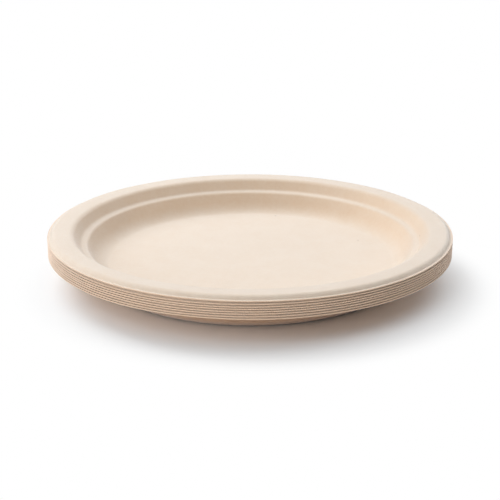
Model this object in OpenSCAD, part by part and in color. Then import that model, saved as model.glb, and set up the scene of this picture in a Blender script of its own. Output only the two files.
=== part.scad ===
// Stack of round moulded-fibre plates, nested one in another.
// Every plate is one pressed shell of even thickness. Its section runs from the flat floor
// through the heel and the well wall to the stacking ledge, up to the flange, over the
// shoulder and out along the flat lip. The stack stands on the floor of the lowest plate.

/* [Plate] */
// Outside diameter of a plate, across its lip
plate_d = 254; // [220:1:320]
// Height of one plate, from the table to the crest of its flange
plate_h = 20.8; // [19:0.1:30]
// Thickness of the pressed fibre
wall_t = 0.6; // [0.4:0.05:0.8]

/* [Rim] */
// Width of the flat lip round the foot of the skirt
lip_w = 1.6; // [1.2:0.1:3]
// Drop from the crest of the flange to the top of the lip
lip_drop = 2; // [1.5:0.1:5]
// Slope of the skirt between the lip and the flange, in degrees
skirt_slope = 50; // [45:1:65]
// Width of the flange between the corners of its two edges
flange_w = 12.2; // [10:0.1:20]
// Rise of the flange towards its outer side
flange_rise = 0.7; // [0:0.1:1]
// Radius of the shoulder, where the flange turns down to the skirt
shoulder_r = 3.8; // [2:0.1:4.5]
// Radius of the brow, where the flange turns down into the plate
brow_r = 5.2; // [2:0.1:6]
// Radius of the hollow between the skirt and the lip
lip_hollow_r = 0.6; // [0.4:0.1:1]
// Rounding of the trimmed edge of the lip
trim_r = 0.15; // [0.05:0.05:0.15]

/* [Ledge] */
// Drop from the crest of the flange to the outer side of the ledge
ledge_drop = 7.5; // [6:0.1:10]
// Slope of the upper wall between the brow and the ledge, in degrees
upper_slope = 56; // [45:1:65]
// Width of the ledge between its corners
ledge_w = 4.3; // [2.5:0.1:6]
// Fall of the ledge towards the middle of the plate
ledge_fall = 0.8; // [0:0.1:1]
// Radius of the hollow between the upper wall and the ledge
ledge_hollow_r = 3; // [0.8:0.1:3.5]
// Radius of the ledge's inner edge
ledge_edge_r = 3; // [1.2:0.1:3.5]

/* [Well] */
// Slope of the well wall between the ledge and the heel, in degrees
well_slope = 60; // [45:1:65]
// Radius of the heel, the curve from the well wall into the floor
heel_r = 12.4; // [6:0.1:14]

/* [Stack] */
// Number of plates in the stack
plate_count = 8; // [2:1:20]
// Gap left between the walls of two nested plates
nest_gap = 0.1; // [0.05:0.01:0.15]
// How far the top plate stands proud of the even pitch
top_rise = 0.3; // [0:0.05:0.3]
// Colour of the unbleached fibre
fibre_color = [0.95, 0.89, 0.82];

/* [Hidden] */
// Most that a chord of a rounded corner may stand off its arc
chord_error = 0.015;
// Smoothness of the turned surfaces
round_fn = 144;
// Share of a straight stretch that the roundings at its two ends may take together
corner_share = 0.98;

// The shoulder's rounding takes the crest a little below the corner of a rising flange
flange_tilt = atan(flange_rise / flange_w);
shoulder_turn = skirt_slope + flange_tilt;
crest_loss = shoulder_r * (tan(shoulder_turn / 2) * sin(flange_tilt) + cos(flange_tilt) - 1);

// Distances from the axis, and heights, of the section's corners on the upper face
shoulder_z = plate_h + crest_loss;
lip_z = plate_h - lip_drop;
lip_end_at = plate_d / 2;
lip_foot_at = lip_end_at - lip_w;
shoulder_at = lip_foot_at - (shoulder_z - lip_z) / tan(skirt_slope);
brow_at = shoulder_at - flange_w;
brow_z = shoulder_z - flange_rise;
ledge_out_z = plate_h - ledge_drop;
ledge_out_at = brow_at - (brow_z - ledge_out_z) / tan(upper_slope);
ledge_in_at = ledge_out_at - ledge_w;
ledge_in_z = ledge_out_z - ledge_fall;
heel_at = ledge_in_at - (ledge_in_z - wall_t) / tan(well_slope);

// Corners from the middle of the floor to the lip: distance, height, rounding
UPPER = [
    [0, wall_t, 0],
    [heel_at, wall_t, heel_r],
    [ledge_in_at, ledge_in_z, ledge_edge_r],
    [ledge_out_at, ledge_out_z, ledge_hollow_r],
    [brow_at, brow_z, brow_r],
    [shoulder_at, shoulder_z, shoulder_r],
    [lip_foot_at, lip_z, lip_hollow_r],
    [lip_end_at, lip_z, trim_r]
];

// The steepest wall sets how closely the plates nest
steepest = max(skirt_slope, upper_slope, well_slope);
pitch = (wall_t + nest_gap) / cos(steepest);

function xy(p) = [p[0], p[1]];
function heading(a, b) = atan2(b[1] - a[1], b[0] - a[0]);
// An angle brought between -180 and 180 degrees
function wrapped(angle) = angle > 180 ? angle - 360 : angle < -180 ? angle + 360 : angle;
// Turn of the path at corner i, positive to the left, and none at its two ends
function turn(path, i) =
    i == 0 || i == len(path) - 1
        ? 0
        : wrapped(heading(path[i], path[i + 1]) - heading(path[i - 1], path[i]));
// Length that the rounding of corner i takes off each of its two stretches
function setback(path, i) = path[i][2] * tan(abs(turn(path, i)) / 2);
// How far the roundings at both ends of stretch i, from corner i to i + 1, must shrink
function room(path, i) =
    let (
        taken = setback(path, i) + setback(path, i + 1),
        most = corner_share * norm(xy(path[i + 1]) - xy(path[i]))
    )
    taken > most ? most / taken : 1;

// The path with every rounding held to its walls
function held(path) = [
    for (i = [0 : len(path) - 1])
        let (shrink = turn(path, i) == 0 ? 1 : min(room(path, i - 1), room(path, i)))
        [path[i][0], path[i][1], path[i][2] * shrink]
];

// The path one wall lower, parallel to itself, with roundings about the same centres
function lower_face(path, t) = [
    for (i = [0 : len(path) - 1])
        let (
            angle = turn(path, i),
            before = i == 0 ? heading(path[0], path[1]) : heading(path[i - 1], path[i]),
            down = before + angle / 2 - 90,
            far = t / cos(angle / 2)
        )
        [
            path[i][0] + far * cos(down),
            path[i][1] + far * sin(down),
            path[i][2] + t * sign(angle)
        ]
];

// Points of the rounding at corner i of a path, or the point itself at its two ends
function corner(path, i) = turn(path, i) == 0 ? [xy(path[i])] : rounding(path, i);
function rounding(path, i) =
    let (
        r = path[i][2],
        angle = turn(path, i),
        before = heading(path[i - 1], path[i]),
        start = xy(path[i]) - setback(path, i) * [cos(before), sin(before)],
        to_centre = sign(angle) * r,
        centre = start + to_centre * [-sin(before), cos(before)],
        chord_turn = 2 * acos(1 - chord_error / r),
        steps = ceil(abs(angle) / chord_turn)
    )
    [
        for (k = [0 : steps])
            let (now = before + angle * k / steps)
            centre + to_centre * [sin(now), -cos(now)]
    ];

function reversed(list) = [for (i = [len(list) - 1 : -1 : 0]) list[i]];

// Upper face out to the lip, round the trimmed edge and back along the lower face
function shell_outline() =
    let (
        upper = held(UPPER),
        path = concat(upper, reversed(lower_face(upper, wall_t)))
    )
    [for (i = [0 : len(path) - 1]) each corner(path, i)];

module plate_shell() {
    rotate_extrude($fn = round_fn) polygon(shell_outline());
}

// Plate number i, counted from the bottom of the stack
module plate(i) {
    rise = i == plate_count ? top_rise : 0;
    color(fibre_color) translate([0, 0, (i - 1) * pitch + rise]) plate_shell();
}

for (i = [1 : plate_count]) {
    plate(i);
}
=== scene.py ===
import logging
import math
from dataclasses import dataclass, field
from enum import Enum
from typing import Iterable, Sequence

import bpy
import numpy as np
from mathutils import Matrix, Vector


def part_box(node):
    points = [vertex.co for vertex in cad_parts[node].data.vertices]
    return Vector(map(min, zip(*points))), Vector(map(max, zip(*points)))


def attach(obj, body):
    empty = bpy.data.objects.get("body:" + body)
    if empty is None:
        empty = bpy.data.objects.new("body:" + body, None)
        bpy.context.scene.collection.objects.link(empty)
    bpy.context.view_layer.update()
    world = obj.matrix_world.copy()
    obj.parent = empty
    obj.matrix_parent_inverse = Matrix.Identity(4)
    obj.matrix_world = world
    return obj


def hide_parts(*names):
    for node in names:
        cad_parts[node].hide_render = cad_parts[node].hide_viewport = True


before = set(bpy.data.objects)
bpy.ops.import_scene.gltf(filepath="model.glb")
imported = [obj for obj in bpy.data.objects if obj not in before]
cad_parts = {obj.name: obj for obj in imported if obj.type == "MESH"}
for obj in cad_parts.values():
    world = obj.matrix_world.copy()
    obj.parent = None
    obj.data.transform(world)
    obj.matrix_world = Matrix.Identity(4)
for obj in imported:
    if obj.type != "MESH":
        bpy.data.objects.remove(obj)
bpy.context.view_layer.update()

LOG = logging.getLogger("plate_stack")
MM = 0.001
BODY = "root"
WELD = 0.001 * MM
NOISE_SPAN = (0.3, 0.7)

Point = tuple[float, float]


class Side(Enum):
    """Which face of the pressed shell a point of the section lies on."""

    UPPER = 0.0
    TRIM = 0.5
    LOWER = 1.0


class Trait(Enum):
    """Named attributes that a plate's mesh carries for its material."""

    SIDE = "plate_side"
    # how much painted shade a point takes for the steepness of its wall
    WALL_SHADE = "plate_wall_shade"
    SEED = "plate_seed"


@dataclass(frozen=True)
class Corner:
    """One corner of the plate's section, before it is rounded.

    Args:
        at: distance from the axis, in metres.
        z: height, in metres.
        radius: rounding radius, in metres.
    """

    at: float
    z: float
    radius: float

    @property
    def point(self) -> np.ndarray:
        """The corner as a plane vector."""
        return np.array((self.at, self.z))


@dataclass(frozen=True)
class PlateForm:
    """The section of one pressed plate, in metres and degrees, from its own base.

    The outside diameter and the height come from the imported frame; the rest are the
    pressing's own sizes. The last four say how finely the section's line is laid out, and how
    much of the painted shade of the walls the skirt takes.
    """

    diameter: float
    height: float
    wall: float = 0.6 * MM
    lip_width: float = 1.6 * MM
    lip_drop: float = 2.0 * MM
    skirt_slope: float = 50.0
    flange_width: float = 12.2 * MM
    flange_rise: float = 0.7 * MM
    shoulder_radius: float = 3.8 * MM
    brow_radius: float = 5.2 * MM
    lip_hollow_radius: float = 0.6 * MM
    trim_radius: float = 0.15 * MM
    ledge_drop: float = 7.5 * MM
    upper_slope: float = 56.0
    ledge_width: float = 4.3 * MM
    ledge_fall: float = 0.8 * MM
    ledge_hollow_radius: float = 3.0 * MM
    ledge_edge_radius: float = 3.0 * MM
    well_slope: float = 60.0
    heel_radius: float = 12.4 * MM
    chord: float = 0.9 * MM
    stretch: float = 5.0 * MM
    turn_step: float = 12.0
    # share of the painted wall shade that the skirt, lip and outer flange take
    skirt_wall_shade: float = 0.2

    @property
    def rim(self) -> float:
        """Distance of the lip's outer edge from the axis."""
        return self.diameter / 2

    @property
    def crest_loss(self) -> float:
        """How far the shoulder's rounding takes the flange's crest below its corner.

        Returns:
            The drop, in metres.
        """
        tilt = math.atan(self.flange_rise / self.flange_width)
        half = (math.radians(self.skirt_slope) + tilt) / 2
        return self.shoulder_radius * (math.tan(half) * math.sin(tilt) + math.cos(tilt) - 1)

    @property
    def brow_at(self) -> float:
        """Distance of the flange's inner corner from the axis.

        Returns:
            The distance, in metres.
        """
        skirt_drop = self.lip_drop + self.crest_loss
        skirt_run = skirt_drop / math.tan(math.radians(self.skirt_slope))
        return self.rim - self.lip_width - skirt_run - self.flange_width

    def upper_corners(self) -> list[Corner]:
        """Lists the corners of the upper face, from the axis out to the lip.

        Returns:
            The corners with their roundings.
        """
        lip_z = self.height - self.lip_drop
        lip_foot = self.rim - self.lip_width
        shoulder_z = self.height + self.crest_loss
        brow_z = shoulder_z - self.flange_rise
        ledge_z = self.height - self.ledge_drop
        ledge_out = self.brow_at - (brow_z - ledge_z) / math.tan(math.radians(self.upper_slope))
        ledge_in = ledge_out - self.ledge_width
        ledge_low = ledge_z - self.ledge_fall
        heel = ledge_in - (ledge_low - self.wall) / math.tan(math.radians(self.well_slope))
        return [
            Corner(0.0, self.wall, 0.0),
            Corner(heel, self.wall, self.heel_radius),
            Corner(ledge_in, ledge_low, self.ledge_edge_radius),
            Corner(ledge_out, ledge_z, self.ledge_hollow_radius),
            Corner(self.brow_at, brow_z, self.brow_radius),
            Corner(self.brow_at + self.flange_width, shoulder_z, self.shoulder_radius),
            Corner(lip_foot, lip_z, self.lip_hollow_radius),
            Corner(self.rim, lip_z, self.trim_radius),
        ]

    def outline(self) -> list[Corner]:
        """Lists the corners along the upper face and, back to the axis, the lower one."""
        upper = self.upper_corners()
        return upper + list(reversed(lower_face(upper, self.wall)))


def heading(a: np.ndarray, b: np.ndarray) -> float:
    """Gives the direction from a to b, in radians."""
    return math.atan2(b[1] - a[1], b[0] - a[0])


def wrapped(angle: float) -> float:
    """Brings an angle between minus and plus half a turn."""
    return (angle + math.pi) % (2 * math.pi) - math.pi


def turn(path: Sequence[Corner], i: int) -> float:
    """Gives the turn of a path at one of its corners.

    Args:
        path: the corners in order.
        i: the corner's number.

    Returns:
        The turn in radians, positive to the left, and none at the path's ends.
    """
    if i in (0, len(path) - 1):
        return 0.0
    before = heading(path[i - 1].point, path[i].point)
    return wrapped(heading(path[i].point, path[i + 1].point) - before)


def rounding_start(path: Sequence[Corner], i: int) -> np.ndarray:
    """Finds where the arc that rounds a corner starts.

    Args:
        path: the corners in order.
        i: the corner's number.

    Returns:
        The arc's first point.
    """
    corner = path[i]
    before = heading(path[i - 1].point, corner.point)
    back = corner.radius * math.tan(abs(turn(path, i)) / 2)
    return corner.point - back * np.array((math.cos(before), math.sin(before)))


def lower_face(upper: Sequence[Corner], wall: float) -> list[Corner]:
    """Offsets the upper face by the wall, keeping every rounding's centre.

    Args:
        upper: the corners of the upper face.
        wall: the shell's thickness.

    Returns:
        The corners of the lower face, in the same order.
    """
    lower = []
    for i, corner in enumerate(upper):
        angle = turn(upper, i)
        first = max(i - 1, 0)
        before = heading(upper[first].point, upper[first + 1].point)
        down = before + angle / 2 - math.pi / 2
        far = wall / math.cos(angle / 2)
        side = (angle > 0) - (angle < 0)
        lower.append(
            Corner(
                corner.at + far * math.cos(down),
                corner.z + far * math.sin(down),
                corner.radius + wall * side,
            )
        )
    return lower


@dataclass
class Section:
    """The plate's section as a line of points, with what the material needs at each.

    Args:
        form: the plate's sizes.
        points: distance from the axis and height of each point.
        sides: the face that each point lies on.
        wall_shades: how much painted shade each point takes for the steepness of the section
            there.
    """

    form: PlateForm
    points: list[Point] = field(default_factory=list)
    sides: list[float] = field(default_factory=list)
    wall_shades: list[float] = field(default_factory=list)

    def add(self, point: np.ndarray, side: Side, slope: float) -> None:
        """Adds one point with its face and how much painted shade its steepness gives it.

        Args:
            point: distance from the axis and height.
            side: the face that the point lies on.
            slope: the section's direction there, in radians.
        """
        # painted shade grows with steepness; points beyond the flange's middle take only a share
        # of it
        middle = self.form.brow_at + self.form.flange_width / 2
        share = 1.0 if point[0] < middle else self.form.skirt_wall_shade
        self.points.append((max(float(point[0]), 0.0), float(point[1])))
        self.sides.append(side.value)
        self.wall_shades.append(abs(math.sin(slope)) * share)

    def add_rounding(self, path: Sequence[Corner], i: int, side: Side) -> None:
        """Adds the points of the arc that rounds one corner.

        Args:
            path: the whole outline.
            i: the corner's number.
            side: the face that the corner lies on.
        """
        corner, angle = path[i], turn(path, i)
        before = heading(path[i - 1].point, corner.point)
        to_centre = math.copysign(corner.radius, angle)
        start = rounding_start(path, i)
        centre = start + to_centre * np.array((-math.sin(before), math.cos(before)))
        by_turn = abs(angle) / math.radians(self.form.turn_step)
        by_chord = abs(angle) * corner.radius / self.form.chord
        steps = max(2, math.ceil(max(by_turn, by_chord)))
        for k in range(steps + 1):
            now = before + angle * k / steps
            spot = centre + to_centre * np.array((math.sin(now), -math.cos(now)))
            self.add(spot, side, now)

    def add_stretch(self, end: np.ndarray, side: Side) -> None:
        """Adds the points inside a straight stretch that ends at the next corner.

        Args:
            end: where the stretch ends.
            side: the face that the stretch lies on.
        """
        start = np.array(self.points[-1])
        count = int(np.linalg.norm(end - start) // self.form.stretch)
        for k in range(1, count + 1):
            spot = start + (end - start) * k / (count + 1)
            self.add(spot, side, heading(start, end))

    def build(self) -> "Section":
        """Walks round the outline and fills in every point.

        Returns:
            The section itself.
        """
        path = self.form.outline()
        trim = (len(path) // 2 - 1, len(path) // 2)
        self.add(path[0].point, Side.UPPER, 0.0)
        for i in range(1, len(path) - 1):
            side = Side.TRIM if i in trim else Side.UPPER if i < trim[0] else Side.LOWER
            stretch_side = Side.UPPER if i <= trim[0] else Side.LOWER
            self.add_stretch(rounding_start(path, i), stretch_side)
            self.add_rounding(path, i, side)
        self.add_stretch(path[-1].point, Side.LOWER)
        self.add(path[-1].point, Side.LOWER, 0.0)
        return self

    def mesh(self, name: str) -> bpy.types.Mesh:
        """Makes the section a line of edges that carries its attributes.

        Args:
            name: the mesh's name.

        Returns:
            The new mesh.
        """
        mesh = bpy.data.meshes.new(name)
        verts = [(at, 0.0, z) for at, z in self.points]
        edges = [(i, i + 1) for i in range(len(verts) - 1)]
        mesh.from_pydata(verts, edges, [])
        for trait, values in ((Trait.SIDE, self.sides), (Trait.WALL_SHADE, self.wall_shades)):
            attribute = mesh.attributes.new(trait.value, "FLOAT", "POINT")
            attribute.data.foreach_set("value", np.array(values, np.float32))
        return mesh


class TreeBuilder:
    """Small helper that adds and links the nodes of one tree.

    Args:
        tree: the node tree to fill.
    """

    def __init__(self, tree: bpy.types.NodeTree) -> None:
        """Keeps the tree."""
        self.tree = tree

    def add(self, kind: str, inputs: dict | None = None, **settings: object) -> bpy.types.Node:
        """Adds a node, sets its properties and fills or links its inputs.

        Args:
            kind: the node's type name.
            inputs: input name or number to a value or an output socket.
            settings: the node's own properties.

        Returns:
            The new node.
        """
        node = self.tree.nodes.new(kind)
        for key, value in settings.items():
            setattr(node, key, value)
        for key, value in (inputs or {}).items():
            if isinstance(value, bpy.types.NodeSocket):
                self.tree.links.new(value, node.inputs[key])
            else:
                node.inputs[key].default_value = value
        return node

    def math(self, operation: str, *values: object) -> bpy.types.NodeSocket:
        """Adds a Math node on the given numbers or sockets and gives its output."""
        node = self.add("ShaderNodeMath", dict(enumerate(values)), operation=operation)
        return node.outputs[0]

    def ramp(
        self, value: object, low: float, high: float, to_low: float = 0.0, to_high: float = 1.0
    ) -> bpy.types.NodeSocket:
        """Maps a value smoothly from one range to another.

        Args:
            value: the number or socket to map.
            low: where the source range starts.
            high: where the source range ends.
            to_low: the result at low.
            to_high: the result at high.

        Returns:
            The mapped value's socket.
        """
        places = dict(enumerate((value, low, high, to_low, to_high)))
        node = self.add("ShaderNodeMapRange", places, interpolation_type="SMOOTHSTEP")
        return node.outputs[0]

    def mix(self, share: object, first: object, second: object) -> bpy.types.NodeSocket:
        """Mixes a share of the second colour into the first and gives the output."""
        node = self.add("ShaderNodeMix", {0: share, 6: first, 7: second}, data_type="RGBA")
        return node.outputs[2]

    def link(self, out: bpy.types.NodeSocket, into: bpy.types.NodeSocket) -> None:
        """Links two sockets."""
        self.tree.links.new(out, into)


@dataclass(frozen=True)
class Warp:
    """How a plate departs from the perfect form after drying and trimming.

    Args:
        amount: most that the rim sinks below its true height, in metres.
        lobes: size of the noise circle that the rim's rise and fall is read on.
        trim_amount: most that the trimmed edge falls short of its circle, in metres.
        trim_lobes: size of the noise circle for the trimmed edge.
    """

    amount: float = 0.3 * MM
    lobes: float = 0.9
    trim_amount: float = 0.22 * MM
    trim_lobes: float = 9.0


class PlateTurner:
    """Geometry Nodes tree that turns a section into a closed plate."""

    TRIM_SEED_STEP = 40.0

    def __init__(self, form: PlateForm, turns: int = 360) -> None:
        """Builds the tree once.

        Args:
            form: the plate's sizes, for the zones that warp.
            turns: how many steps there are round the plate.
        """
        self.form = form
        self.turns = turns
        self.sockets: dict[str, str] = {}
        self.tree = self._build()

    def _socket(self, name: str, kind: str, default: object = None) -> None:
        """Adds a named input to the tree and remembers its identifier.

        Args:
            name: the input's name.
            kind: its socket type.
            default: its value until it is set, if it has one.
        """
        made = self.tree.interface.new_socket(name, in_out="INPUT", socket_type=kind)
        if default is not None:
            made.default_value = default
        self.sockets[name] = made.identifier

    def _build(self) -> bpy.types.NodeTree:
        """Builds the tree.

        Returns:
            The finished tree.
        """
        self.tree = bpy.data.node_groups.new("turned_plate", "GeometryNodeTree")
        self._socket("Section", "NodeSocketGeometry")
        self._socket("Turns", "NodeSocketInt", self.turns)
        self._socket("Base height", "NodeSocketFloat", 0.0)
        self._socket("Warp", "NodeSocketFloat", 0.0)
        self._socket("Warp lobes", "NodeSocketFloat", 1.0)
        self._socket("Trim wobble", "NodeSocketFloat", 0.0)
        self._socket("Trim lobes", "NodeSocketFloat", 1.0)
        self._socket("Seed", "NodeSocketFloat", 0.0)
        self._socket("Material", "NodeSocketMaterial")
        self.tree.interface.new_socket("Plate", in_out="OUTPUT", socket_type="NodeSocketGeometry")
        make = TreeBuilder(self.tree)
        given = make.add("NodeGroupInput").outputs
        section = given["Section"]
        size = make.add("GeometryNodeAttributeDomainSize", {"Geometry": section})
        count = size.outputs["Point Count"]
        across = make.math("ADD", given["Turns"], 1.0)
        grid = make.add("GeometryNodeMeshGrid", {"Vertices X": across, "Vertices Y": count})
        index = make.add("GeometryNodeInputIndex").outputs[0]
        # half a step keeps the division clear of rounding errors
        step = make.math("FLOOR", make.math("DIVIDE", make.math("ADD", index, 0.5), count))
        place = make.math("SUBTRACT", index, make.math("MULTIPLY", step, count))
        position = make.add("GeometryNodeInputPosition").outputs[0]
        spot = self._sampled(make, section, position, place, "FLOAT_VECTOR")
        parts = make.add("ShaderNodeSeparateXYZ", {0: spot}).outputs
        angle = make.math("DIVIDE", make.math("MULTIPLY", step, 2 * math.pi), given["Turns"])
        cosine, sine = make.math("COSINE", angle), make.math("SINE", angle)
        sunk = self._sunk(make, given, cosine, sine, parts["X"])
        short = self._short(make, given, cosine, sine, parts)
        radius = make.math("SUBTRACT", parts["X"], short)
        height = make.math("SUBTRACT", make.math("ADD", parts["Z"], given["Base height"]), sunk)
        where = make.add(
            "ShaderNodeCombineXYZ",
            {
                "X": make.math("MULTIPLY", radius, cosine),
                "Y": make.math("MULTIPLY", radius, sine),
                "Z": height,
            },
        ).outputs[0]
        laid = grid.outputs["Mesh"]
        for trait in (Trait.SIDE, Trait.WALL_SHADE):
            named = make.add("GeometryNodeInputNamedAttribute", {"Name": trait.value})
            value = self._sampled(make, section, named.outputs[0], place, "FLOAT")
            laid = self._stored(make, laid, trait, value)
        laid = self._stored(make, laid, Trait.SEED, given["Seed"])
        shaped = make.add("GeometryNodeSetPosition", {"Geometry": laid, "Position": where})
        joined = make.add(
            "GeometryNodeMergeByDistance",
            {"Geometry": shaped.outputs[0], "Distance": WELD},
        )
        flipped = make.add("GeometryNodeFlipFaces", {"Mesh": joined.outputs[0]})
        smooth = make.add("GeometryNodeSetShadeSmooth", {0: flipped.outputs[0]})
        real = make.add("GeometryNodeRealizeInstances", {0: smooth.outputs[0]})
        dressed = make.add(
            "GeometryNodeSetMaterial",
            {"Geometry": real.outputs[0], "Material": given["Material"]},
        )
        out = make.add("NodeGroupOutput")
        make.link(dressed.outputs[0], out.inputs[0])
        return self.tree

    @staticmethod
    def _sampled(
        make: TreeBuilder,
        section: bpy.types.NodeSocket,
        value: bpy.types.NodeSocket,
        place: bpy.types.NodeSocket,
        kind: str,
    ) -> bpy.types.NodeSocket:
        """Reads a value of the section at the point that a grid vertex stands for.

        Args:
            make: the builder of the tree.
            section: the section's geometry.
            value: what to read.
            place: the number of the section's point.
            kind: the value's data type.

        Returns:
            The value at that point.
        """
        node = make.add(
            "GeometryNodeSampleIndex",
            {"Geometry": section, "Value": value, "Index": place},
            data_type=kind,
            domain="POINT",
        )
        return node.outputs["Value"]

    @staticmethod
    def _stored(
        make: TreeBuilder,
        mesh: bpy.types.NodeSocket,
        trait: Trait,
        value: bpy.types.NodeSocket,
    ) -> bpy.types.NodeSocket:
        """Stores a value on the plate's points under the trait's name.

        Args:
            make: the builder of the tree.
            mesh: the plate's geometry so far.
            trait: the attribute to store.
            value: its value.

        Returns:
            The geometry with the attribute.
        """
        node = make.add(
            "GeometryNodeStoreNamedAttribute",
            {"Geometry": mesh, "Name": trait.value, "Value": value},
            data_type="FLOAT",
            domain="POINT",
        )
        return node.outputs["Geometry"]

    @staticmethod
    def _ring_noise(
        make: TreeBuilder,
        cosine: bpy.types.NodeSocket,
        sine: bpy.types.NodeSocket,
        lobes: bpy.types.NodeSocket,
        seed: bpy.types.NodeSocket,
        detail: float,
    ) -> bpy.types.NodeSocket:
        """Reads noise on a circle, so that it closes on itself round the plate.

        Args:
            make: the builder of the tree.
            cosine: cosine of the angle round the plate.
            sine: its sine.
            lobes: radius of the circle in the noise.
            seed: number that sets this noise apart.
            detail: how much fine noise lies on the coarse.

        Returns:
            The noise there, from 0 to 1.
        """
        ring = make.add(
            "ShaderNodeCombineXYZ",
            {
                "X": make.math("MULTIPLY", cosine, lobes),
                "Y": make.math("MULTIPLY", sine, lobes),
                "Z": seed,
            },
        ).outputs[0]
        noise = make.add("ShaderNodeTexNoise", {"Vector": ring, "Scale": 1.0, "Detail": detail})
        return noise.outputs[0]

    def _sunk(
        self,
        make: TreeBuilder,
        given: bpy.types.bpy_prop_collection,
        cosine: bpy.types.NodeSocket,
        sine: bpy.types.NodeSocket,
        radius: bpy.types.NodeSocket,
    ) -> bpy.types.NodeSocket:
        """Works out how far the warped rim sinks at each place round the plate.

        Args:
            make: the builder of the tree.
            given: the tree's inputs.
            cosine: cosine of the angle round the plate.
            sine: its sine.
            radius: distance from the axis.

        Returns:
            How far the point sinks, in metres.
        """
        lobes = given["Warp lobes"]
        noise = self._ring_noise(make, cosine, sine, lobes, given["Seed"], detail=1.0)
        share = make.ramp(noise, *NOISE_SPAN)
        zone = make.ramp(radius, self.form.brow_at, self.form.rim)
        return make.math("MULTIPLY", make.math("MULTIPLY", share, zone), given["Warp"])

    def _short(
        self,
        make: TreeBuilder,
        given: bpy.types.bpy_prop_collection,
        cosine: bpy.types.NodeSocket,
        sine: bpy.types.NodeSocket,
        parts: bpy.types.bpy_prop_collection,
    ) -> bpy.types.NodeSocket:
        """Works out how far the trimmed edge falls short of its circle.

        Args:
            make: the builder of the tree.
            given: the tree's inputs.
            cosine: cosine of the angle round the plate.
            sine: its sine.
            parts: the section point's distance from the axis and height.

        Returns:
            How far the point moves towards the axis, in metres.
        """
        seed = make.math("ADD", given["Seed"], self.TRIM_SEED_STEP)
        noise = self._ring_noise(make, cosine, sine, given["Trim lobes"], seed, detail=5.0)
        zone = make.ramp(parts["X"], self.form.rim - self.form.lip_width, self.form.rim)
        return make.math("MULTIPLY", make.math("MULTIPLY", noise, zone), given["Trim wobble"])

    def turn(
        self,
        name: str,
        section: Section,
        base: float,
        seed: float,
        warp: Warp,
        material: bpy.types.Material,
    ) -> bpy.types.Object:
        """Turns a section into one plate and makes the result a plain mesh.

        Args:
            name: the plate's name.
            section: its section.
            base: height of the plate's own base.
            seed: number that sets its warp apart from its neighbours'.
            warp: how it departs from the perfect form.
            material: its finish.

        Returns:
            The plate as a mesh object at the origin, with no modifier.
        """
        blank = bpy.data.objects.new(name + "_section", section.mesh(name + "_section"))
        bpy.context.scene.collection.objects.link(blank)
        modifier = blank.modifiers.new("turn", "NODES")
        modifier.node_group = self.tree
        values = {
            "Turns": self.turns,
            "Base height": base,
            "Warp": warp.amount,
            "Warp lobes": warp.lobes,
            "Trim wobble": warp.trim_amount,
            "Trim lobes": warp.trim_lobes,
            "Seed": seed,
            "Material": material,
        }
        for key, value in values.items():
            modifier[self.sockets[key]] = value
        bpy.context.view_layer.update()
        ready = blank.evaluated_get(bpy.context.evaluated_depsgraph_get())
        mesh = bpy.data.meshes.new_from_object(ready)
        mesh.name = name
        plate = bpy.data.objects.new(name, mesh)
        bpy.context.scene.collection.objects.link(plate)
        blank.modifiers.clear()
        bpy.data.objects.remove(blank)
        return plate


class ShaderGroup:
    """A shader node group with named inputs and one output, built once."""

    def __init__(self, name: str, inputs: dict[str, float], output: str) -> None:
        """Makes the empty group and its sockets.

        Args:
            name: the group's name.
            inputs: names and defaults of its number inputs, which follow Vector.
            output: name of its output, a number that varies over the surface.
        """
        self.tree = bpy.data.node_groups.new(name, "ShaderNodeTree")
        self.tree.interface.new_socket("Vector", in_out="INPUT", socket_type="NodeSocketVector")
        for key, value in inputs.items():
            made = self.tree.interface.new_socket(
                key, in_out="INPUT", socket_type="NodeSocketFloat"
            )
            made.default_value = value
        self.tree.interface.new_socket(output, in_out="OUTPUT", socket_type="NodeSocketFloat")
        self.make = TreeBuilder(self.tree)
        self.given = self.make.add("NodeGroupInput").outputs

    def finish(self, value: bpy.types.NodeSocket) -> "ShaderGroup":
        """Links the result to the group's output.

        Args:
            value: the result.

        Returns:
            The group itself.
        """
        out = self.make.add("NodeGroupOutput")
        self.make.link(value, out.inputs[0])
        return self

    def place(
        self, make: TreeBuilder, vector: bpy.types.NodeSocket, **values: object
    ) -> bpy.types.NodeSocket:
        """Places the group in a material, read at a vector, and gives its output."""
        node = make.add("ShaderNodeGroup", {"Vector": vector, **values}, node_tree=self.tree)
        return node.outputs[0]


def cloud_group() -> ShaderGroup:
    """Builds the soft uneven clouds that pulp settles in.

    Returns:
        A group that puts out a mask from 0 to 1.
    """
    group = ShaderGroup("pulp_clouds", {"Seed": 0.0, "Size": 0.01, "Detail": 3.0}, "Mask")
    make, given = group.make, group.given
    noise = make.add(
        "ShaderNodeTexNoise",
        {
            "Vector": given["Vector"],
            "W": given["Seed"],
            "Scale": make.math("DIVIDE", 1.0, given["Size"]),
            "Detail": given["Detail"],
        },
        noise_dimensions="4D",
    ).outputs[0]
    return group.finish(make.ramp(noise, *NOISE_SPAN))


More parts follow.
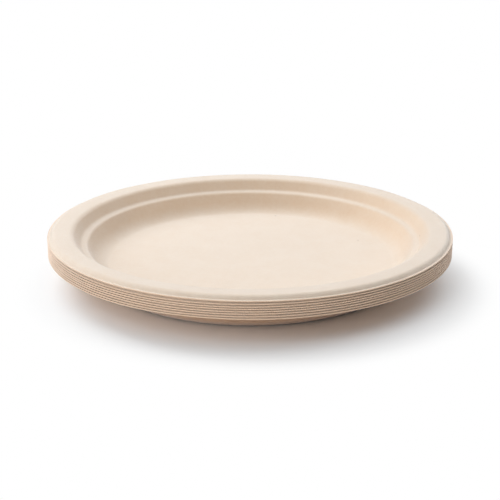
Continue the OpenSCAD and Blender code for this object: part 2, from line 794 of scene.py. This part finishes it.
def strand_group() -> ShaderGroup:
    """Builds short straight fibres that lie one way, some cells of a cellular pattern.

    Returns:
        A group that puts out a mask, 1 on a fibre.
    """
    inputs = {"Seed": 0.0, "Turn": 0.0, "Length": 0.004, "Width": 0.0003, "Share": 0.3}
    group = ShaderGroup("fibre_strands", inputs, "Mask")
    make, given = group.make, group.given
    axis = (0.3, 0.2, 0.93)
    spacing = 4.0
    core, edge = 0.05, 0.2
    moved = make.add(
        "ShaderNodeVectorMath",
        {0: given["Vector"], 1: make.add("ShaderNodeCombineXYZ", {0: given["Seed"]}).outputs[0]},
        operation="ADD",
    ).outputs[0]
    turned = make.add(
        "ShaderNodeVectorRotate",
        {"Vector": moved, "Axis": axis, "Angle": given["Turn"]},
        rotation_type="AXIS_ANGLE",
    ).outputs[0]
    across = make.math("DIVIDE", 1.0, given["Width"])
    along = make.math("DIVIDE", 1.0, given["Length"])
    scale = make.add("ShaderNodeCombineXYZ", {0: along, 1: across, 2: across}).outputs[0]
    cells = make.add(
        "ShaderNodeTexVoronoi",
        {
            "Vector": make.add(
                "ShaderNodeVectorMath", {0: turned, 1: scale}, operation="MULTIPLY"
            ).outputs[0],
            "Scale": 1 / spacing,
            "Randomness": 1.0,
        },
    ).outputs
    pick = make.add("ShaderNodeSeparateColor", {0: cells["Color"]}).outputs
    kept = make.math("LESS_THAN", pick[0], given["Share"])
    body = make.ramp(cells["Distance"], core, edge, 1.0, 0.0)
    return group.finish(make.math("MULTIPLY", body, kept))


def screen_group() -> ShaderGroup:
    """Builds the weave that the forming screen presses into a plate's under face.

    Returns:
        A group that puts out a height from 0 to 1.
    """
    group = ShaderGroup("screen_mark", {"Pitch": 0.001}, "Height")
    make, given = group.make, group.given
    parts = make.add("ShaderNodeSeparateXYZ", {0: given["Vector"]}).outputs
    turns = make.math("DIVIDE", 2 * math.pi, given["Pitch"])
    lean = 0.6
    waves = []
    for sign in (1.0, -1.0):
        skew = make.math("MULTIPLY_ADD", parts[1], sign, parts[0])
        skew = make.math("MULTIPLY_ADD", parts[2], lean, skew)
        waves.append(make.math("SINE", make.math("MULTIPLY", skew, turns)))
    weave = make.math("MULTIPLY", waves[0], waves[1])
    return group.finish(make.math("MULTIPLY_ADD", weave, 0.5, 0.5))


@dataclass(frozen=True)
class Strands:
    """One layer of fibres, with lengths in metres.

    Args:
        turn: which way the fibres lie, in degrees.
        length: how long they are.
        width: how wide they are.
        share: share of them that shows.
    """

    turn: float
    length: float
    width: float
    share: float


@dataclass(frozen=True)
class Specks:
    """One layer of husk specks, with lengths in metres.

    Args:
        gap: usual distance between two places where a speck may lie.
        share: share of the places that hold one.
        radius: radius of the smallest speck.
        spread: how much larger the largest one is.
        depth: how far it takes on the husk's colour.
    """

    gap: float
    share: float
    radius: float
    spread: float
    depth: float


@dataclass(frozen=True)
class FibreFinish:
    """Finish of unbleached pressed plant fibre.

    Colours are scene-linear. Lengths are in metres and angles in degrees.

    Args:
        pale: tone of the pressed upper face.
        fibre_and_wall_shade: darker tone that clouds and fibres take on, and painted shade on
            steep walls.
        under_shade: painted shade on the under face, a darker, warmer tone than the upper face's.
        cut: tone of the trimmed edge.
        fleck: tone of a speck of husk.
        wall_shade_span: how steep a wall is where it starts to take on painted shade, and
            where it has all of it, as a sine.
        wall_shade_share: how far the steepest wall takes on painted shade.
        cloud_share: how far a cloud does, broad or fine.
        fibre_share: how far a single fibre does.
        under_shade_share: how far the under face takes on that painted shade.
        cut_share: how far the trimmed edge takes on its own tone.
        cut_reach: how far from the trim that tone reaches, in steps of Side.
        roughness: least and most roughness.
        sheen: strength of the fuzz that stray fibres make.
        sheen_roughness: how widely the fuzz scatters light.
        cloud_size: size of the broad clouds.
        grain_size: size of the fine clouds.
        felt_size: size of the felt's lumps.
        felt_depth: how deep the felt is.
        fibre_height: height of a fibre, as a share of the felt's depth.
        screen_pitch: distance from one mark of the forming screen to the next.
        screen_depth: how deep the marks are.
        specks: layers of husk specks.
        strands: layers of fibres.
    """

    pale: tuple[float, float, float, float] = (0.87, 0.735, 0.60, 1.0)
    # painted shade on steep walls, and the darker tone of clouds and fibres
    fibre_and_wall_shade: tuple[float, float, float, float] = (0.79, 0.60, 0.43, 1.0)
    # painted shade for the under face
    under_shade: tuple[float, float, float, float] = (0.84, 0.515, 0.31, 1.0)
    cut: tuple[float, float, float, float] = (0.90, 0.64, 0.44, 1.0)
    fleck: tuple[float, float, float, float] = (0.30, 0.20, 0.12, 1.0)
    wall_shade_span: tuple[float, float] = (0.1, 0.95)
    wall_shade_share: float = 0.62
    cloud_share: float = 0.16
    fibre_share: float = 0.55
    under_shade_share: float = 0.9
    cut_share: float = 0.8
    cut_reach: float = 0.4
    roughness: tuple[float, float] = (0.82, 0.92)
    sheen: float = 0.85
    sheen_roughness: float = 0.5
    cloud_size: float = 14.0 * MM
    grain_size: float = 2.2 * MM
    felt_size: float = 0.5 * MM
    felt_depth: float = 0.06 * MM
    fibre_height: float = 0.8
    screen_pitch: float = 1.1 * MM
    screen_depth: float = 0.05 * MM
    specks: tuple[Specks, ...] = (
        Specks(gap=17.0 * MM, share=0.35, radius=0.20 * MM, spread=0.37 * MM, depth=0.75),
        Specks(gap=5.0 * MM, share=0.25, radius=0.07 * MM, spread=0.12 * MM, depth=0.5),
    )
    strands: tuple[Strands, ...] = (
        Strands(turn=17.0, length=2.4 * MM, width=0.16 * MM, share=0.35),
        Strands(turn=78.0, length=3.1 * MM, width=0.18 * MM, share=0.30),
        Strands(turn=139.0, length=2.0 * MM, width=0.15 * MM, share=0.35),
    )

    def material(self) -> bpy.types.Material:
        """Builds the finish.

        Returns:
            The new material.
        """
        material = bpy.data.materials.new("pressed_fibre")
        material.use_nodes = True
        material.node_tree.nodes.clear()
        make = TreeBuilder(material.node_tree)
        place = make.add("ShaderNodeTexCoord").outputs["Object"]
        traits = {
            trait: make.add("ShaderNodeAttribute", attribute_name=trait.value).outputs["Fac"]
            for trait in (Trait.SEED, Trait.WALL_SHADE, Trait.SIDE)
        }
        clouds = cloud_group()
        seed = traits[Trait.SEED]
        broad = clouds.place(make, place, Seed=seed, Size=self.cloud_size, Detail=2.0)
        grain = clouds.place(make, place, Seed=seed, Size=self.grain_size, Detail=4.0)
        felt = clouds.place(make, place, Seed=seed, Size=self.felt_size, Detail=3.0)
        fibres = self._fibres(make, place, seed)
        colour = self._colour(make, traits, (broad, grain), fibres)
        for layer in self.specks:
            colour = self._specks(make, place, colour, layer)
        shader = make.add(
            "ShaderNodeBsdfPrincipled",
            {
                "Base Color": colour,
                "Roughness": make.ramp(grain, 0.0, 1.0, *self.roughness),
                "Sheen Weight": self.sheen,
                "Sheen Roughness": self.sheen_roughness,
                "Normal": self._relief(make, place, traits[Trait.SIDE], felt, fibres),
            },
        )
        out = make.add("ShaderNodeOutputMaterial")
        make.link(shader.outputs[0], out.inputs["Surface"])
        return material

    def _fibres(
        self, make: TreeBuilder, place: bpy.types.NodeSocket, seed: bpy.types.NodeSocket
    ) -> bpy.types.NodeSocket:
        """Lays the layers of fibres over one another.

        Args:
            make: the builder of the material's tree.
            place: where the pattern is read.
            seed: the plate's own number.

        Returns:
            The fibres' common mask.
        """
        group = strand_group()
        mask: object = 0.0
        for layer in self.strands:
            made = group.place(
                make,
                place,
                Seed=seed,
                Turn=math.radians(layer.turn),
                Length=layer.length,
                Width=layer.width,
                Share=layer.share,
            )
            mask = make.math("MAXIMUM", mask, made)
        return mask

    def _colour(
        self,
        make: TreeBuilder,
        traits: dict[Trait, bpy.types.NodeSocket],
        clouds: tuple[bpy.types.NodeSocket, bpy.types.NodeSocket],
        fibres: bpy.types.NodeSocket,
    ) -> bpy.types.NodeSocket:
        """Mixes the fibre's tones by clouds, fibres and trimmed edge, with painted shade on steep
        walls and on the under face.

        Args:
            make: the builder of the material's tree.
            traits: the plate's attributes.
            clouds: the broad and the fine mask.
            fibres: the fibres' mask.

        Returns:
            The colour before the specks.
        """
        # painted shade on steep walls, added to the darker tone of clouds and fibres
        steep = make.ramp(traits[Trait.WALL_SHADE], *self.wall_shade_span)
        tone = make.math("MULTIPLY", steep, self.wall_shade_share)
        for cloud in clouds:
            tone = make.math("MULTIPLY_ADD", cloud, self.cloud_share, tone)
        tone = make.math("MULTIPLY_ADD", fibres, self.fibre_share, tone)
        mixed = make.mix(make.math("MINIMUM", tone, 1.0), self.pale, self.fibre_and_wall_shade)
        # painted shade on the under face
        under = self._under(make, traits[Trait.SIDE], self.under_shade_share)
        mixed = make.mix(under, mixed, self.under_shade)
        off_trim = make.math("SUBTRACT", traits[Trait.SIDE], Side.TRIM.value)
        off_trim = make.math("ABSOLUTE", off_trim)
        trim = make.ramp(off_trim, 0.0, self.cut_reach, self.cut_share, 0.0)
        return make.mix(trim, mixed, self.cut)

    @staticmethod
    def _under(
        make: TreeBuilder, side: bpy.types.NodeSocket, share: float
    ) -> bpy.types.NodeSocket:
        """Masks the under face, clear of the trimmed edge.

        Args:
            make: the builder of the material's tree.
            side: which face of the shell it is.
            share: the mask's value on the under face.

        Returns:
            The mask.
        """
        margin = 0.05
        start, end = Side.TRIM.value + margin, Side.LOWER.value - margin
        return make.ramp(side, start, end, 0.0, share)

    def _specks(
        self,
        make: TreeBuilder,
        place: bpy.types.NodeSocket,
        colour: bpy.types.NodeSocket,
        layer: Specks,
    ) -> bpy.types.NodeSocket:
        """Sprinkles one layer of dark specks of husk over the colour.

        Args:
            make: the builder of the material's tree.
            place: where the pattern is read.
            colour: the colour so far.
            layer: the specks.

        Returns:
            The colour with the specks.
        """
        cells = make.add(
            "ShaderNodeTexVoronoi", {"Vector": place, "Scale": 1 / layer.gap}
        ).outputs
        pick = make.add("ShaderNodeSeparateColor", {0: cells["Color"]}).outputs
        kept = make.math("LESS_THAN", pick[0], layer.share)
        least, more = layer.radius / layer.gap, layer.spread / layer.gap
        reach = make.math("MULTIPLY_ADD", pick[1], more, least)
        near = make.math("LESS_THAN", cells["Distance"], reach)
        mask = make.math("MULTIPLY", make.math("MULTIPLY", near, kept), layer.depth)
        return make.mix(mask, colour, self.fleck)

    def _relief(
        self,
        make: TreeBuilder,
        place: bpy.types.NodeSocket,
        side: bpy.types.NodeSocket,
        felt: bpy.types.NodeSocket,
        fibres: bpy.types.NodeSocket,
    ) -> bpy.types.NodeSocket:
        """Raises the felt and fibres, and presses the screen into the under face.

        Args:
            make: the builder of the material's tree.
            place: where the patterns are read.
            side: which face of the shell it is.
            felt: the finest clouds.
            fibres: the fibres' mask.

        Returns:
            The bumped normal.
        """
        screen = screen_group().place(make, place, Pitch=self.screen_pitch)
        under = self._under(make, side, self.screen_depth / self.felt_depth)
        height = make.math("MULTIPLY_ADD", fibres, self.fibre_height, felt)
        height = make.math("MULTIPLY_ADD", screen, under, height)
        bump = make.add(
            "ShaderNodeBump", {"Height": height, "Distance": self.felt_depth, "Strength": 1.0}
        )
        return bump.outputs[0]


@dataclass
class PlateStack:
    """The nested plates, each turned from one section and set where the frame says.

    Args:
        nodes: names of the plates in the frame, from the table up.
        finish: the fibre finish they share.
        seed_step: how far apart the seeds of two neighbours lie.
    """

    nodes: list[str]
    finish: FibreFinish = field(default_factory=FibreFinish)
    seed_step: float = 3.7

    def build(self) -> list[bpy.types.Object]:
        """Makes every plate and hands it to the frame.

        Returns:
            The plates, from the table up.
        """
        low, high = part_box(self.nodes[0])
        form = PlateForm(diameter=high.x - low.x, height=high.z - low.z)
        section = Section(form).build()
        turner = PlateTurner(form)
        material = self.finish.material()
        plates = []
        for number, node in enumerate(self.nodes):
            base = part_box(node)[0].z
            plate = turner.turn(
                node + "_pressed", section, base, number * self.seed_step, Warp(), material
            )
            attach(plate, BODY)
            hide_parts(node)
            LOG.info("%s: base at %.2f mm, %d faces", node, base / MM, len(plate.data.polygons))
            plates.append(plate)
        return plates


@dataclass(frozen=True)
class Softbox:
    """A round soft lamp that faces the stack.

    Args:
        name: the lamp's name.
        azimuth: degrees round from straight behind the stack towards its left.
        elevation: degrees above the table.
        power: strength in watts.
        size: diameter, in metres.
        distance: how far from the stack's foot it hangs, in metres.
    """

    name: str
    azimuth: float
    elevation: float
    power: float
    size: float = 1.1
    distance: float = 1.5

    def hang(self) -> bpy.types.Object:
        """Hangs the lamp.

        Returns:
            The lamp's object.
        """
        lamp = bpy.data.lights.new(self.name, "AREA")
        lamp.shape = "DISK"
        lamp.size = self.size
        lamp.energy = self.power
        holder = bpy.data.objects.new(self.name, lamp)
        turned, raised = math.radians(self.azimuth), math.radians(self.elevation)
        way = Vector(
            (
                -math.sin(turned) * math.cos(raised),
                math.cos(turned) * math.cos(raised),
                math.sin(raised),
            )
        )
        holder.location = way * self.distance
        holder.rotation_euler = (-way).to_track_quat("-Z", "Y").to_euler()
        bpy.context.scene.collection.objects.link(holder)
        return holder


def sight_rays(make: TreeBuilder) -> bpy.types.NodeSocket:
    """Masks the rays that show something, straight, off a gloss or through glass.

    Args:
        make: the builder of the tree.

    Returns:
        The mask, 1 on such a ray.
    """
    path = make.add("ShaderNodeLightPath").outputs
    seen = make.math("MAXIMUM", path["Is Camera Ray"], path["Is Glossy Ray"])
    return make.math("MAXIMUM", seen, path["Is Transmission Ray"])


@dataclass(frozen=True)
class Studio:
    """Plain pale table, white surroundings, soft light and the camera.

    Lengths are in metres and angles in degrees.

    Args:
        ambient: strength of the even light from all round.
        softboxes: the lamps.
        table_span: width of the table.
        table_colour: its colour, scene-linear.
        fade_from: distance from the fade's centre where the table starts to turn white.
        fade_to: distance where it has turned white.
        fade_centre: the fade's centre on the table, x to the right and y to the back.
        fade_stretch: how much wider the fade is than deep.
        aim_height: height on the stack's axis of the point that the camera faces.
        distance: how far from that point the camera stands.
        elevation: how far the camera looks down.
        lens: focal length, in millimetres.
        sensor: width of the sensor, in millimetres.
        shift_y: the lens's upward shift, as a share of the picture's width.
    """

    ambient: float = 0.12
    softboxes: tuple[Softbox, ...] = (
        Softbox("key", azimuth=42.0, elevation=42.0, power=18.0),
        Softbox("glow", azimuth=302.0, elevation=38.0, power=9.2, size=1.7),
        Softbox("fill", azimuth=143.0, elevation=30.0, power=9.7),
    )
    table_span: float = 6.0
    table_colour: tuple[float, float, float, float] = (0.90, 0.94, 0.975, 1.0)
    fade_from: float = 0.095
    fade_to: float = 0.145
    fade_centre: tuple[float, float] = (0.005, -0.015)
    fade_stretch: float = 1.05
    aim_height: float = 28.6 * MM
    distance: float = 0.7516
    elevation: float = 17.85
    lens: float = 85.4
    sensor: float = 36.0
    shift_y: float = -0.0432

    def light_world(self) -> None:
        """Lights the scene evenly and shows white wherever the camera looks past it."""
        world = bpy.data.worlds.new("studio")
        bpy.context.scene.world = world
        world.use_nodes = True
        world.node_tree.nodes.clear()
        make = TreeBuilder(world.node_tree)
        soft = make.add("ShaderNodeBackground", {"Color": (1, 1, 1, 1), "Strength": self.ambient})
        white = make.add("ShaderNodeBackground", {"Color": (1, 1, 1, 1), "Strength": 1.0})
        mix = make.add(
            "ShaderNodeMixShader",
            {0: sight_rays(make), 1: soft.outputs[0], 2: white.outputs[0]},
        )
        out = make.add("ShaderNodeOutputWorld")
        make.link(mix.outputs[0], out.inputs["Surface"])

    def lay_table(self) -> bpy.types.Object:
        """Lays the table, which turns white across an oval round the stack.

        Returns:
            The table.
        """
        half = self.table_span / 2
        mesh = bpy.data.meshes.new("table")
        mesh.from_pydata(
            [(-half, -half, 0), (half, -half, 0), (half, half, 0), (-half, half, 0)],
            [],
            [(0, 1, 2, 3)],
        )
        table = bpy.data.objects.new("table", mesh)
        bpy.context.scene.collection.objects.link(table)
        material = bpy.data.materials.new("pale_table")
        material.use_nodes = True
        material.node_tree.nodes.clear()
        make = TreeBuilder(material.node_tree)
        place = make.add("ShaderNodeTexCoord").outputs["Object"]
        squeeze = 1 / self.fade_stretch
        across, along = self.fade_centre
        oval = make.add(
            "ShaderNodeMapping",
            {
                "Vector": place,
                "Location": (-across * squeeze, -along, 0.0),
                "Scale": (squeeze, 1.0, 1.0),
            },
        ).outputs[0]
        far = make.add("ShaderNodeVectorMath", {0: oval}, operation="LENGTH").outputs["Value"]
        fade = make.ramp(far, self.fade_from, self.fade_to)
        fade = make.math("MULTIPLY", fade, sight_rays(make))
        plain = make.add("ShaderNodeBsdfDiffuse", {"Color": self.table_colour})
        white = make.add("ShaderNodeEmission", {"Color": (1, 1, 1, 1), "Strength": 1.0})
        mix = make.add(
            "ShaderNodeMixShader", {0: fade, 1: plain.outputs[0], 2: white.outputs[0]}
        )
        out = make.add("ShaderNodeOutputMaterial")
        make.link(mix.outputs[0], out.inputs["Surface"])
        mesh.materials.append(material)
        return table

    def set_camera(self) -> bpy.types.Object:
        """Sets the camera where the photograph was taken from.

        Returns:
            The camera.
        """
        camera = bpy.data.cameras.new("camera")
        camera.sensor_width = self.sensor
        camera.lens = self.lens
        camera.shift_y = self.shift_y
        holder = bpy.data.objects.new("camera", camera)
        tilt = math.radians(self.elevation)
        back = Vector((0.0, -math.cos(tilt), math.sin(tilt))) * self.distance
        holder.location = Vector((0.0, 0.0, self.aim_height)) + back
        holder.rotation_euler = (math.pi / 2 - tilt, 0.0, 0.0)
        bpy.context.scene.collection.objects.link(holder)
        bpy.context.scene.camera = holder
        return holder

    def build(self) -> None:
        """Sets up everything that isn't part of the stack."""
        bpy.context.scene.view_settings.view_transform = "Standard"
        self.set_camera()
        self.light_world()
        for softbox in self.softboxes:
            softbox.hang()
        self.lay_table()
        LOG.info("studio ready")


def main() -> None:
    """Builds the studio and the stack."""
    logging.basicConfig(level=logging.INFO, format="%(name)s: %(message)s")
    Studio().build()
    nodes = sorted(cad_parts, key=lambda name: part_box(name)[0].z)
    PlateStack(nodes).build()


if __name__ == "__main__":
    main()
